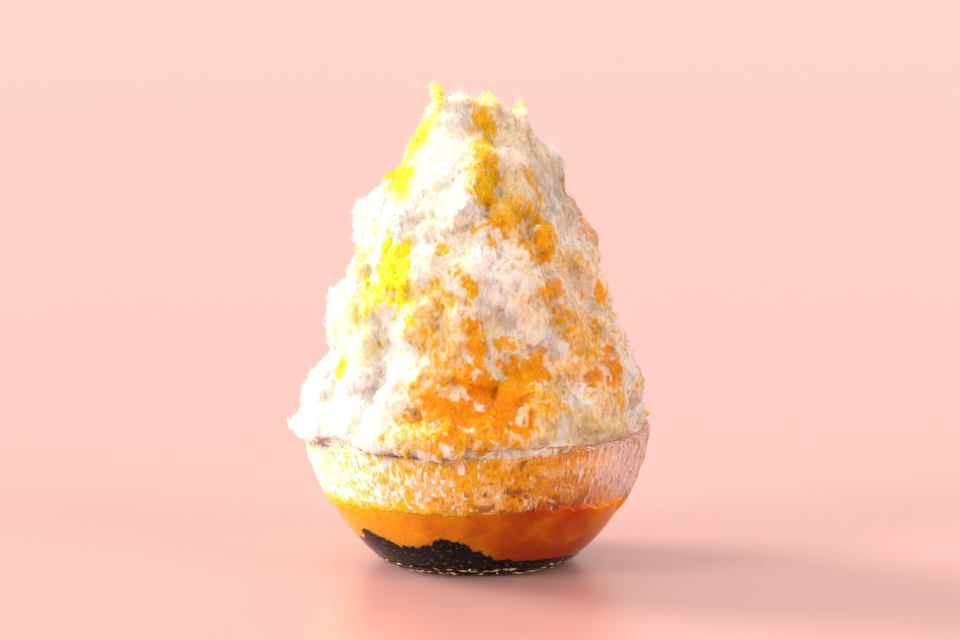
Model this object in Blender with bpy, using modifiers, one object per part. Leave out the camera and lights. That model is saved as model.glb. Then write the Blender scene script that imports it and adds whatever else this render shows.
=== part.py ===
"""Shaved ice heaped in a clear glass bowl, over orange fruit sauce and dark sweet bean paste.

Metres, +Z up. The origin is on the table, at the centre of the bowl's foot, and -Y is the front.
"""

import math
import random

import bmesh
import bpy
from mathutils import Matrix, Vector, noise

# Bowl: its side follows an ellipse, from the foot up to the rim
BOWL_HEIGHT = 0.0495
SIDE_GIRTH = 0.064
SIDE_WIDEST_Z = 0.062
SIDE_DEPTH = 0.0726
WALL = 0.0028
INNER_FLOOR_Z = 0.0048
FOOT_R = 0.0322
SIDE_STEPS = 12
INNER_STEPS = 6
BOWL_SEGMENTS = 96

# Rough band of run-down ribs round the upper half of the glass
BAND_LOW_Z = 0.0225
BAND_HIGH_Z = 0.0470
BAND_FADE = 0.0030
RIB_DEPTH = 0.0009
RIB_PITCHES = 48
RIB_LENGTH = 0.0053
RIM_WAVE = 0.0005
RIM_ROUNDING = 0.0009

# Meshes hold 32-bit numbers, so neighbours keep this much air
GAP = 0.0003

# Fillings: each rise of the paste is its centre (x, y), height and radius
PASTE_LAYER_Z = 0.0064
PASTE_RISES = (
    ((-0.010, -0.046), 0.0088, 0.0125),
    ((-0.037, -0.026), 0.0080, 0.0115),
    ((-0.016, -0.014), 0.0055, 0.0200),
    ((0.020, 0.024), 0.0040, 0.0150),
)
PASTE_GRAIN = 0.0043
PASTE_RIPPLE = 0.0005
SAUCE_MEAN_Z = 0.0245
SAUCE_FRONT_RISE = 0.0022
SAUCE_WAVE = 0.018
SAUCE_RIPPLE = 0.0009
FILL_SEGMENTS = 48
SURFACE_CELLS = 24

# Heap of ice: half-widths left and right of the axis at rising heights
FLANK = (
    (0.045, 0.0650, 0.0600),
    (0.052, 0.0665, 0.0625),
    (0.062, 0.0635, 0.0610),
    (0.070, 0.0575, 0.0585),
    (0.081, 0.0555, 0.0560),
    (0.096, 0.0545, 0.0490),
    (0.110, 0.0500, 0.0450),
    (0.122, 0.0455, 0.0415),
    (0.133, 0.0405, 0.0330),
    (0.142, 0.0300, 0.0290),
    (0.151, 0.0255, 0.0250),
)
FULLER_SIDE = math.radians(20)
CORE_SHARE = 0.84
CORE_SEGMENTS = 40
CORE_SHIFT = (-0.0020, -0.0012)
SHRUNK_SIDE = 0.88
CORE_CAP = 0.006
LUMPS = 96
LUMP_MIN_R = 0.0070
LUMP_MAX_R = 0.0130
LUMP_LOW_Z = 0.056
LUMP_HIGH_Z = 0.143
FLANK_LEAN = math.radians(21)
GOLDEN_ANGLE = math.pi * (3.0 - math.sqrt(5.0))
ICE_SEED = 11
ICE_VOXEL = 0.0013
SOFTEN_STEPS = 3
CRAG_SIZE = 0.0075
CRAG_DEPTH = 0.0034
ICE_TRIANGLES = 5300

# Brim: ice that hangs over the rim, as the angles (degrees) it runs between and how far it stands proud
BRIM_SPACING = 8
BRIM_Z = 0.0500
BRIM_R = 0.0095
BRIM_DRAWN_IN = 0.0055
BRIM_STRETCH = (0.8, 1.25, 0.75)
BRIMS = (
    (156, 220, 0.0046),
    (208, 288, 0.0034),
    (66, 128, 0.0036),
)


def bowl_radius(height):
    """Outer radius of the smooth bowl at a height."""
    return SIDE_GIRTH * math.sqrt(1.0 - ((SIDE_WIDEST_Z - height) / SIDE_DEPTH) ** 2)


def bowl_wall_direction(height):
    """Unit vector (radial, vertical) pointing out of the side at a height."""
    outward = bowl_radius(height) / SIDE_GIRTH**2
    upward = (height - SIDE_WIDEST_Z) / SIDE_DEPTH**2
    length = math.hypot(outward, upward)
    return outward / length, upward / length


def inner_profile(inset, top, floor):
    """Points (radius, height) from the axis out over the floor and up a wall set in from the side."""
    wall = []
    for step in range(4 * SIDE_STEPS + 1):
        outside = BOWL_HEIGHT * step / (4 * SIDE_STEPS)
        radial, vertical = bowl_wall_direction(outside)
        height = outside - vertical * inset
        if floor < height < top:
            wall.append((bowl_radius(outside) - radial * inset, height))
    spaced = [wall[round(step * (len(wall) - 1) / INNER_STEPS)] for step in range(INNER_STEPS + 1)]
    low_r = spaced[0][0]
    radial, vertical = bowl_wall_direction(min(top, BOWL_HEIGHT))
    end = spaced[-1][0] - (top - spaced[-1][1]) * vertical / radial
    return [(0.0, floor), (0.93 * low_r, floor)] + spaced + [(end, top)]


def new_object(name, mesh, collection):
    made = bpy.data.objects.new(name, mesh)
    collection.objects.link(made)
    return made


def mesh_from(bm, name):
    bmesh.ops.recalc_face_normals(bm, faces=bm.faces)
    mesh = bpy.data.meshes.new(name)
    bm.to_mesh(mesh)
    bm.free()
    return mesh


def spun(points, segments):
    """A bmesh of a closed turned solid, from (radius, height) points that start and end on the axis."""
    bm = bmesh.new()
    verts = [bm.verts.new((radius, 0.0, height)) for radius, height in points]
    edges = [bm.edges.new(pair) for pair in zip(verts, verts[1:])]
    bmesh.ops.spin(bm, geom=verts + edges, cent=(0, 0, 0), axis=(0, 0, 1), angle=2 * math.pi,
                   steps=segments, use_merge=True, use_duplicate=False)
    bmesh.ops.remove_doubles(bm, verts=bm.verts, dist=1e-5)
    return bm


def material(name, colour, roughness, transmission=0.0):
    made = bpy.data.materials.new(name)
    made.use_nodes = True
    shader = made.node_tree.nodes["Principled BSDF"]
    shader.inputs["Base Color"].default_value = (*colour, 1.0)
    shader.inputs["Roughness"].default_value = roughness
    shader.inputs["Metallic"].default_value = 0.0
    shader.inputs["Transmission Weight"].default_value = transmission
    made.diffuse_color = (*colour, 1.0)
    return made


def shade_smooth(obj, degrees=40.0):
    obj.data.shade_smooth()
    obj.data.set_sharp_from_angle(angle=math.radians(degrees))


def rib_relief(angle, height):
    """How far the rough band pushes the glass out at an angle round it and a height."""
    low = (height - BAND_LOW_Z) / BAND_FADE
    high = (BAND_HIGH_Z - height) / BAND_FADE
    fade = max(0.0, min(1.0, low, high))
    around = RIB_PITCHES * angle / (2 * math.pi)
    crest = 0.5 + 0.5 * math.cos(2 * math.pi * around)
    rib = math.floor(around + 0.5) % RIB_PITCHES
    unevenness = noise.noise(Vector((rib * 1.37, height / RIB_LENGTH, 3.1)))
    return RIB_DEPTH * fade * crest * max(0.0, min(1.0, 0.6 + unevenness))


def bowl_outline(inset_out=0.0, rise=0.0, inset_in=WALL):
    """Closed outline of the wall, as (radius, height) from under the flat foot round to the inner floor."""
    outer = [(0.0, 0.0), (FOOT_R, 0.0)]
    for step in range(1, SIDE_STEPS + 1):
        height = BOWL_HEIGHT * step / SIDE_STEPS
        outer.append((bowl_radius(height) + inset_out, height + rise * step / SIDE_STEPS))
    inner = inner_profile(inset_in, BOWL_HEIGHT - 0.0004 + rise, INNER_FLOOR_Z)
    lip = (0.5 * (outer[-1][0] + inner[-1][0]), BOWL_HEIGHT + RIM_ROUNDING + rise)
    return outer + [lip] + inner[::-1]


def glass_bowl(collection):
    """The bowl: one turned wall on a flat foot, with the rough band pressed into its outside."""
    bm = spun(bowl_outline(), BOWL_SEGMENTS)
    for vert in bm.verts:
        radius = math.hypot(vert.co.x, vert.co.y)
        height = vert.co.z
        if radius < 1e-6:
            continue
        angle = math.atan2(vert.co.y, vert.co.x)
        if radius > bowl_radius(max(0.0, min(height, BOWL_HEIGHT))) - 0.0006:
            scale = (radius + rib_relief(angle, height)) / radius
            vert.co.x *= scale
            vert.co.y *= scale
        if height > BAND_HIGH_Z:
            vert.co.z += RIM_WAVE * noise.noise(Vector((3 * math.cos(angle), 3 * math.sin(angle), 0.4)))
    bowl = new_object("glass_bowl", mesh_from(bm, "glass_bowl"), collection)
    bowl.data.materials.append(material("clear glass", (0.95, 0.96, 0.95), 0.03, transmission=1.0))
    shade_smooth(bowl)
    return bowl


def bump(x, y, centre_x, centre_y, radius):
    """A round rise of height 1 at a centre, dying out over a radius."""
    distance = math.hypot(x - centre_x, y - centre_y) / radius
    return math.exp(-distance * distance)


def paste_top(x, y):
    """Height of the paste: a thin layer on the floor, with rises, two of them against the front left wall."""
    rise = sum(height * bump(x, y, *centre, radius) for centre, height, radius in PASTE_RISES)
    ripple = noise.noise(Vector((x / PASTE_GRAIN, y / PASTE_GRAIN, 5.0)))
    return PASTE_LAYER_Z + rise + PASTE_RIPPLE * ripple


def sauce_top(x, y):
    """Height of the sauce: nearly level, a little higher at the front."""
    ripple = noise.noise(Vector((x / SAUCE_WAVE, y / SAUCE_WAVE, 9.0)))
    return SAUCE_MEAN_Z - SAUCE_FRONT_RISE * y / SIDE_GIRTH + SAUCE_RIPPLE * ripple


def slab(name, low, high, collection):
    """A block as wide as the bowl between two height functions of x and y, used to cut a layer."""
    bm = bmesh.new()
    bmesh.ops.create_grid(bm, x_segments=SURFACE_CELLS, y_segments=SURFACE_CELLS, size=SIDE_GIRTH * 1.15)
    bmesh.ops.triangulate(bm, faces=bm.faces[:])
    lifted = bmesh.ops.extrude_face_region(bm, geom=bm.faces[:])
    upper = {item for item in lifted["geom"] if isinstance(item, bmesh.types.BMVert)}
    for vert in bm.verts:
        side = high if vert in upper else low
        vert.co.z = side(vert.co.x, vert.co.y)
    block = new_object(name, mesh_from(bm, name), collection)
    block.hide_render = True
    block.display_type = "WIRE"
    return block


def boolean(obj, other, operation):
    step = obj.modifiers.new(operation.title(), "BOOLEAN")
    step.operation = operation
    step.object = other
    step.solver = "EXACT"
    return step


def filling(name, finish, block, top, collection):
    """What fills the glass between two surfaces: the inside of the bowl, met with a cutting block."""
    bm = spun(inner_profile(WALL + GAP, top, INNER_FLOOR_Z + GAP) + [(0.0, top)], FILL_SEGMENTS)
    layer = new_object(name, mesh_from(bm, name), collection)
    layer.data.materials.append(finish)
    boolean(layer, block, "INTERSECT")
    shade_smooth(layer)
    return layer


def bean_paste(collection, cutters):
    block = slab("paste_block", lambda x, y: 0.0, paste_top, cutters)
    finish = material("dark bean paste", (0.022, 0.012, 0.008), 0.25)
    return filling("bean_paste", finish, block, 0.5 * BOWL_HEIGHT, collection)


def fruit_sauce(collection, cutters):
    block = slab("sauce_block", lambda x, y: paste_top(x, y) + GAP, sauce_top, cutters)
    finish = material("orange fruit sauce", (0.93, 0.38, 0.02), 0.2)
    return filling("fruit_sauce", finish, block, 0.7 * BOWL_HEIGHT, collection)


def flank_reach(angle, height):
    """Distance from the axis to the side of the heap, at an angle round it and a height."""
    for (low_z, low_left, low_right), (high_z, high_left, high_right) in zip(FLANK, FLANK[1:]):
        if height <= high_z:
            break
    share = max(0.0, min(1.0, (height - low_z) / (high_z - low_z)))
    left = low_left + share * (high_left - low_left)
    right = low_right + share * (high_right - low_right)
    across = math.cos(angle - FULLER_SIDE)
    return 0.5 * (left + right) + 0.5 * (right - left) * across


def add_lump(bm, angle, reach, height, radius, stretch=(1.0, 1.0, 1.0), lean=0.0):
    """A soft clod of ice at an angle round the axis: a ball, stretched (out, round, up) and leaned inwards."""
    turned = Matrix.Rotation(angle, 4, "Z") @ Matrix.Translation((reach, 0.0, height))
    place = turned @ Matrix.Rotation(-lean, 4, "Y") @ Matrix.Diagonal((*stretch, 1.0))
    bmesh.ops.create_icosphere(bm, subdivisions=2, radius=radius, matrix=place)


def add_spire(bm, base, tip, width, thickness, turn, taper=0.12):
    """A standing flake or column at the crown: a flattened taper from a base to a leaning tip."""
    along = tip - base
    lean = Vector((0, 0, 1)).rotation_difference(along).to_matrix().to_4x4()
    flat = Matrix.Diagonal((1.0, thickness / width, 1.0, 1.0))
    place = Matrix.Translation(0.5 * (base + tip)) @ lean @ Matrix.Rotation(turn, 4, "Z") @ flat
    bmesh.ops.create_cone(bm, cap_ends=True, segments=10, radius1=0.5 * width, radius2=0.5 * taper * width,
                          depth=along.length, matrix=place)


def add_core(bm):
    """The packed middle of the heap, pushed to the front left, and shrunk from the glass on the right."""
    seat_z = SAUCE_MEAN_Z - 0.006
    seat = [(0.0, seat_z)] + inner_profile(WALL + 0.0010, BOWL_HEIGHT, seat_z)[2:]
    above = [(CORE_SHARE * 0.5 * (left + right), low) for low, left, right in FLANK if low > BOWL_HEIGHT]
    turned = spun(seat + above + [(0.0, above[-1][1] + CORE_CAP)], CORE_SEGMENTS)
    for vert in turned.verts:
        if vert.co.x > 0.0 and vert.co.z < BOWL_HEIGHT:
            vert.co.x *= SHRUNK_SIDE
    bmesh.ops.translate(turned, vec=(*CORE_SHIFT, 0.0), verts=turned.verts)
    core = bpy.data.meshes.new("core")
    turned.to_mesh(core)
    turned.free()
    bm.from_mesh(core)
    bpy.data.meshes.remove(core)


def add_lumps(bm, draw):
    """Clods all round the flanks, spread on a golden-angle spiral, most of them drawn out up the slope."""
    for index in range(LUMPS):
        share = (index + 0.5) / LUMPS
        height = LUMP_LOW_Z + (LUMP_HIGH_Z - LUMP_LOW_Z) * share**1.1
        angle = index * GOLDEN_ANGLE + draw.uniform(-0.25, 0.25)
        radius = draw.uniform(LUMP_MIN_R, LUMP_MAX_R) * (1.0 - 0.30 * share)
        reach = flank_reach(angle, height) - draw.uniform(0.85, 1.20) * radius
        stretch = (draw.uniform(0.8, 1.0), draw.uniform(0.80, 1.20), draw.uniform(1.0, 1.8))
        add_lump(bm, angle, reach, height, radius, stretch, FLANK_LEAN)


def add_ledges(bm):
    """The large shoulders of the heap, as (angle in degrees, height, radius, share that stands proud)."""
    ledges = (
        (176, 0.0610, 0.0130, 0.00),
        (200, 0.0630, 0.0140, 0.00),
        (182, 0.0900, 0.0190, 0.00),
        (178, 0.1230, 0.0130, 0.05),
        (2, 0.0560, 0.0120, 0.00),
        (356, 0.0640, 0.0110, 0.05),
        (4, 0.0750, 0.0090, 0.12),
        (357, 0.0930, 0.0120, 0.00),
        (3, 0.1140, 0.0100, 0.05),
        (318, 0.0570, 0.0120, -0.10),
        (290, 0.0600, 0.0130, -0.06),
        (246, 0.0700, 0.0140, -0.04),
        (262, 0.1020, 0.0150, -0.04),
        (40, 0.0570, 0.0130, -0.04),
        (145, 0.0580, 0.0140, 0.02),
        (100, 0.0850, 0.0150, 0.02),
        (70, 0.1100, 0.0120, 0.02),
    )
    for degrees, height, radius, proud in ledges:
        angle = math.radians(degrees)
        reach = flank_reach(angle, height) - radius * (1.0 - proud)
        add_lump(bm, angle, reach, height, radius)


def add_brims(bm, draw):
    """Ice squeezed out over the rim: chains of flat clods that run into one another and die out at both ends."""
    for start, end, proud in BRIMS:
        for degrees in range(start, end + 1, BRIM_SPACING):
            fullness = math.sin(math.pi * (degrees - start + BRIM_SPACING) / (end - start + 2 * BRIM_SPACING))
            drawn_in = (1.0 - fullness) * BRIM_DRAWN_IN
            radius = BRIM_R * draw.uniform(0.85, 1.15)
            height = BRIM_Z + draw.uniform(0.0, 0.0035) + drawn_in
            reach = bowl_radius(BOWL_HEIGHT) + proud - drawn_in - BRIM_STRETCH[0] * radius
            add_lump(bm, math.radians(degrees), reach, height, radius, BRIM_STRETCH)


def add_crown(bm):
    """The broken top: standing columns of packed flakes round a hollow, with a few thin tips."""
    columns = (
        ((-0.0140, -0.002, 0.120), (-0.0085, -0.004, 0.1705), 0.038, 0.028, 0.1, 0.42),
        ((0.0040, 0.000, 0.120), (0.0038, -0.001, 0.1680), 0.030, 0.026, 0.0, 0.50),
        ((0.0170, -0.002, 0.118), (0.0135, -0.001, 0.1640), 0.028, 0.022, -0.3, 0.42),
        ((0.0240, -0.001, 0.112), (0.0245, 0.000, 0.1525), 0.026, 0.022, 0.6, 0.38),
        ((-0.0240, -0.001, 0.115), (-0.0210, 0.000, 0.1540), 0.024, 0.022, -0.4, 0.32),
        ((-0.0040, 0.014, 0.116), (-0.0040, 0.011, 0.1640), 0.036, 0.022, 0.1, 0.40),
        ((0.0130, 0.014, 0.114), (0.0110, 0.011, 0.1560), 0.028, 0.020, -0.2, 0.35),
        ((-0.0200, 0.013, 0.110), (-0.0180, 0.011, 0.1480), 0.026, 0.018, 0.3, 0.32),
        ((-0.0020, -0.018, 0.104), (-0.0020, -0.010, 0.1570), 0.036, 0.022, 0.1, 0.36),
        ((0.0170, -0.016, 0.104), (0.0140, -0.009, 0.1500), 0.028, 0.020, 0.4, 0.32),
        ((-0.0190, -0.016, 0.104), (-0.0160, -0.009, 0.1500), 0.028, 0.020, -0.4, 0.32),
    )
    tips = (
        ((-0.0135, -0.004, 0.155), (-0.0158, -0.004, 0.1760), 0.0100, 0.0045, 0.2),
        ((-0.0100, -0.006, 0.160), (-0.0110, -0.006, 0.1730), 0.0080, 0.0045, 0.1),
        ((0.0050, 0.004, 0.155), (0.0048, 0.004, 0.1750), 0.0080, 0.0045, 0.3),
        ((0.0010, 0.000, 0.158), (0.0005, 0.000, 0.1700), 0.0070, 0.0045, 0.0),
        ((0.0145, 0.001, 0.152), (0.0158, 0.001, 0.1700), 0.0080, 0.0045, 0.4),
        ((0.0250, 0.001, 0.140), (0.0262, 0.001, 0.1560), 0.0080, 0.0045, 0.8),
        ((-0.0190, 0.002, 0.145), (-0.0205, 0.002, 0.1620), 0.0080, 0.0045, -0.6),
        ((-0.0090, 0.012, 0.152), (-0.0095, 0.014, 0.1690), 0.0090, 0.0045, 1.9),
        ((0.0290, -0.006, 0.122), (0.0355, -0.006, 0.1330), 0.0060, 0.0040, 0.0),
    )
    for base, tip, width, thickness, turn, taper in columns:
        add_spire(bm, Vector(base), Vector(tip), width, thickness, turn, taper)
    for base, tip, width, thickness, turn in tips:
        add_spire(bm, Vector(base), Vector(tip), width, thickness, turn)


def largest_body(mesh):
    """Drops the loose scraps that a cut leaves, so that one closed body stays."""
    bm = bmesh.new()
    bm.from_mesh(mesh)
    bm.verts.ensure_lookup_table()
    unseen = set(bm.verts)
    islands = []
    while unseen:
        front = [unseen.pop()]
        island = set(front)
        while front:
            for edge in front.pop().link_edges:
                for vert in edge.verts:
                    if vert in unseen:
                        unseen.discard(vert)
                        island.add(vert)
                        front.append(vert)
        islands.append(island)
    keep = max(islands, key=len)
    bmesh.ops.delete(bm, geom=[vert for vert in bm.verts if vert not in keep], context="VERTS")
    bm.to_mesh(mesh)
    bm.free()


def apply_modifiers(obj):
    """Turns the object's evaluated shape into its mesh."""
    evaluated = obj.evaluated_get(bpy.context.evaluated_depsgraph_get())
    shaped = bpy.data.meshes.new_from_object(evaluated)
    old = obj.data
    obj.modifiers.clear()
    obj.data = shaped
    bpy.data.meshes.remove(old)


def crags(ice):
    """Uneven relief all over the heap, worked from a cloud texture."""
    texture = bpy.data.textures.new("crags", "CLOUDS")
    texture.noise_scale = CRAG_SIZE
    texture.noise_depth = 2
    relief = ice.modifiers.new("Crags", "DISPLACE")
    relief.texture = texture
    relief.texture_coords = "LOCAL"
    relief.strength = CRAG_DEPTH
    relief.mid_level = 0.5


def thinned(ice, triangles):
    """Fewer, larger faces, down to a number of triangles."""
    mesh = ice.evaluated_get(bpy.context.evaluated_depsgraph_get()).data
    mesh.calc_loop_triangles()
    fewer = ice.modifiers.new("Fewer faces", "DECIMATE")
    fewer.ratio = triangles / len(mesh.loop_triangles)
    fewer.use_collapse_triangulate = True


def clearance_cutter(cutters):
    """The room that the ice leaves to the glass: the bowl's wall, grown by the gap."""
    outline = bowl_outline(inset_out=RIB_DEPTH + GAP, rise=RIM_WAVE + GAP, inset_in=WALL + GAP)
    low = min(height for _, height in outline)
    below = [(0.0, low - 0.004), (SIDE_GIRTH * 0.6, low - 0.004)]
    bm = spun(below + outline[1:], BOWL_SEGMENTS)
    cutter = new_object("glass_clearance", mesh_from(bm, "glass_clearance"), cutters)
    cutter.hide_render = True
    cutter.display_type = "WIRE"
    return cutter


def shaved_ice(collection, cutters):
    """The heap: core, clods, shoulders, brim and crown made one, given crags, and cut clear of glass and sauce."""
    draw = random.Random(ICE_SEED)
    bm = bmesh.new()
    add_core(bm)
    add_lumps(bm, draw)
    add_ledges(bm)
    add_brims(bm, draw)
    add_crown(bm)
    ice = new_object("shaved_ice", mesh_from(bm, "shaved_ice"), collection)
    ice.data.materials.append(material("syrup-stained ice", (0.93, 0.82, 0.60), 0.5))
    one_skin = ice.modifiers.new("One skin", "REMESH")
    one_skin.mode = "VOXEL"
    one_skin.voxel_size = ICE_VOXEL
    soften = ice.modifiers.new("Soften", "SMOOTH")
    soften.factor = 0.5
    soften.iterations = SOFTEN_STEPS
    crags(ice)
    thinned(ice, ICE_TRIANGLES)
    apply_modifiers(ice)
    boolean(ice, clearance_cutter(cutters), "DIFFERENCE")
    block = slab("below_ice", lambda x, y: -0.01, lambda x, y: sauce_top(x, y) + GAP, cutters)
    boolean(ice, block, "DIFFERENCE")
    apply_modifiers(ice)
    largest_body(ice.data)
    shade_smooth(ice, 60.0)
    return ice


def main():
    for obj in list(bpy.data.objects):
        bpy.data.objects.remove(obj, do_unlink=True)
    parts = bpy.data.collections.new("shaved ice dessert")
    cutters = bpy.data.collections.new("cutters")
    for collection in (parts, cutters):
        bpy.context.scene.collection.children.link(collection)
    glass_bowl(parts)
    bean_paste(parts, cutters)
    fruit_sauce(parts, cutters)
    shaved_ice(parts, cutters)


main()
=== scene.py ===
"""Looks of the shaved ice dessert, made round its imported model. Metres, +Z up, -Y is the front."""

import math
import random

import bpy
import numpy as np
from mathutils import Matrix, Vector, noise


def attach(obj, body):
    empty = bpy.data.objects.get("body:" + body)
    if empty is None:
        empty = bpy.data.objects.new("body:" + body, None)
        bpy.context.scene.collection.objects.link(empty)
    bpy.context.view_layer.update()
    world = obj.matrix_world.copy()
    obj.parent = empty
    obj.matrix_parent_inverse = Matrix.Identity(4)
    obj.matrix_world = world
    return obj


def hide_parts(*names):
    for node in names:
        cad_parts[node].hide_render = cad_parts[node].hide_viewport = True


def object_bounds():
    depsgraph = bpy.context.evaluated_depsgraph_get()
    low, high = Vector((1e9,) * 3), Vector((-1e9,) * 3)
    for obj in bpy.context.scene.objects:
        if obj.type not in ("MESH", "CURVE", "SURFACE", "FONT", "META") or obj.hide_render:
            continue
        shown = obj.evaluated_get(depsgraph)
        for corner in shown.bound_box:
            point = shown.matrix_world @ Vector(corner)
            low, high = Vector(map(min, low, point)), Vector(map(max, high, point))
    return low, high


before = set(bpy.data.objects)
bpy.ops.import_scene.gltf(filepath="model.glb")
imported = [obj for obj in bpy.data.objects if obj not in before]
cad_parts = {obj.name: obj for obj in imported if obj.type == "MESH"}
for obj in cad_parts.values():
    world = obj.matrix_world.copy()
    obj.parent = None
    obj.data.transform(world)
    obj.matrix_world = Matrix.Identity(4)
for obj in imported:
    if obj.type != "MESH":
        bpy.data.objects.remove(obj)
cad_low, cad_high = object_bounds()

# Photograph's frame and the camera that took it
FRAME_WIDTH = 960
FRAME_HEIGHT = 640
SENSOR_WIDTH = 36.0
CAMERA_LENS = 108.6
CAMERA_PLACE = Vector((0.0011, -1.05, 0.215))
CAMERA_TARGET = Vector((0.0011, 0.0, 0.0885))

# A pixel just beside the heap is moved in steps towards its middle and down, until it falls on the ice:
# the steps that are tried, the steps that the whole way would take, and the pixels it would drop
SEARCH_STEPS = 40
SEARCH_WHOLE_WAY = 60
SEARCH_DROP = 30

# Floor of the studio, a hair under the bowl's foot
FLOOR_SIZE = 80.0
FLOOR_DROP = 0.0002

# Bowl, as in the solids
BOWL_HEIGHT = 0.0495
SIDE_GIRTH = 0.064
SIDE_WIDEST_Z = 0.062
SIDE_DEPTH = 0.0726
WALL = 0.0028
INNER_FLOOR_Z = 0.0048
FOOT_R = 0.0322
FLOOR_WALL_Z = 0.0058
RIM_ROUNDING = 0.0009
BAND_LOW_Z = 0.0225
BAND_HIGH_Z = 0.0490
BOWL_SEGMENTS = 960
BAND_STEP = 0.0008
PLAIN_STEP = 0.0016
FOOT_STEP = 0.00045
FOOT_TOP_Z = 0.0048

# Runs of glass down the bowl's upper half, and the broken beads at its foot and on its rim
RUN_SEED = 23
RUNS = 620
RUN_WIDTHS = (0.0007, 0.0016)
RUN_LENGTHS = (0.0040, 0.0140)
RUN_HEIGHTS = (0.00040, 0.00090)
RUN_STREAKS = 0.00006
RUN_LUMPS = 0.00030
BEAD_HEIGHTS = (0.0014, 0.0031)
BEAD_RISE = 0.00034
BEAD_LENGTH = 0.0050
FOOT_BEADS = 110
RIM_BEADS = 170
RIM_BEAD_HEIGHTS = (0.0487, 0.0496)

# Ice: where it is cut, how finely it is meshed, and how much its facets are softened, most on the ledge
CUT_Z = 0.0470
CUT_OVERLAP = 0.0010
HEAP_VOXEL = 0.00088
SOAKED_VOXEL = 0.0009
HEAP_SOFTENING = 7
LEDGE_SOFTENING = 40
LEDGE = (0.136, 0.164)

# How near the wall a filling counts as touching it, and how far it then reaches into the glass
ICE_NEAR_WALL = 0.0018
LAYER_NEAR_WALL = 0.0013
ICE_INTO_WALL = 0.0005
SAUCE_INTO_WALL = 0.0006
PASTE_INTO_WALL = 0.0008

# Needles and flakes: how many, how they lie, where they grow, and how far past the solids' box they reach
NEEDLES = 33000
TUFTS = 3300
CROWN_TUFTS = 2700
SHAVINGS = 1500
FIBRE_FIELD = 0.012
SCATTER_LOW_Z = 0.0485
CROWN_Z = 0.122
RIM_CLEARANCE = 0.0012
SIDE_CLEARANCE = 0.0010
STAND_PROUD = 0.0018
TUFT_SPREAD = 0.0008
ROOT_DEPTHS = (-0.0004, 0.0003)

# The crown's jagged top, as (x, z) in millimetres
CROWN_LINE = (
    (-60.0, 180.0), (-19.0, 166.0), (-17.0, 170.0), (-15.6, 175.5), (-14.0, 173.0), (-12.5, 168.5),
    (-10.5, 167.8), (-8.5, 169.5), (-2.5, 169.0), (0.8, 166.0), (3.0, 168.0), (4.7, 173.5), (6.0, 169.0),
    (8.0, 165.0), (12.5, 163.5), (15.0, 167.8), (16.2, 168.2), (17.5, 162.0), (19.5, 155.5), (24.5, 151.5),
    (29.5, 148.5), (31.5, 143.0), (60.0, 143.0),
)

# Ice and syrup colours
ICE_WHITE = (1.0, 0.985, 0.96, 1.0)
# Painted shade: the warm dark that the ice is multiplied by in its bump pits and on its dimmer needles
ICE_PAINTED_SHADE = (0.89, 0.82, 0.74, 1.0)
FLECK = 0.0016
FILM = 1.15
BARE_SHARE = 0.03
LEMON = np.array((1.0, 0.93, 0.010))
AMBER = np.array((1.0, 0.62, 0.006))
ORANGE = np.array((1.0, 0.30, 0.002))
RUST = np.array((0.40, 0.10, 0.002))
PEACH = np.array((1.0, 0.74, 0.40))
# Painted light: cream laid over the soaked ice on its lit left
PAINTED_LIGHT_CREAM = np.array((1.0, 0.95, 0.75))
# Painted light and shade: the sauce's colour on the lit left, and on the shaded right and bottom
SAUCE_LIT_LEFT = np.array((1.0, 0.42, 0.001))
SAUCE_SHADED_RIGHT = np.array((0.50, 0.055, 0.0))

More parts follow.
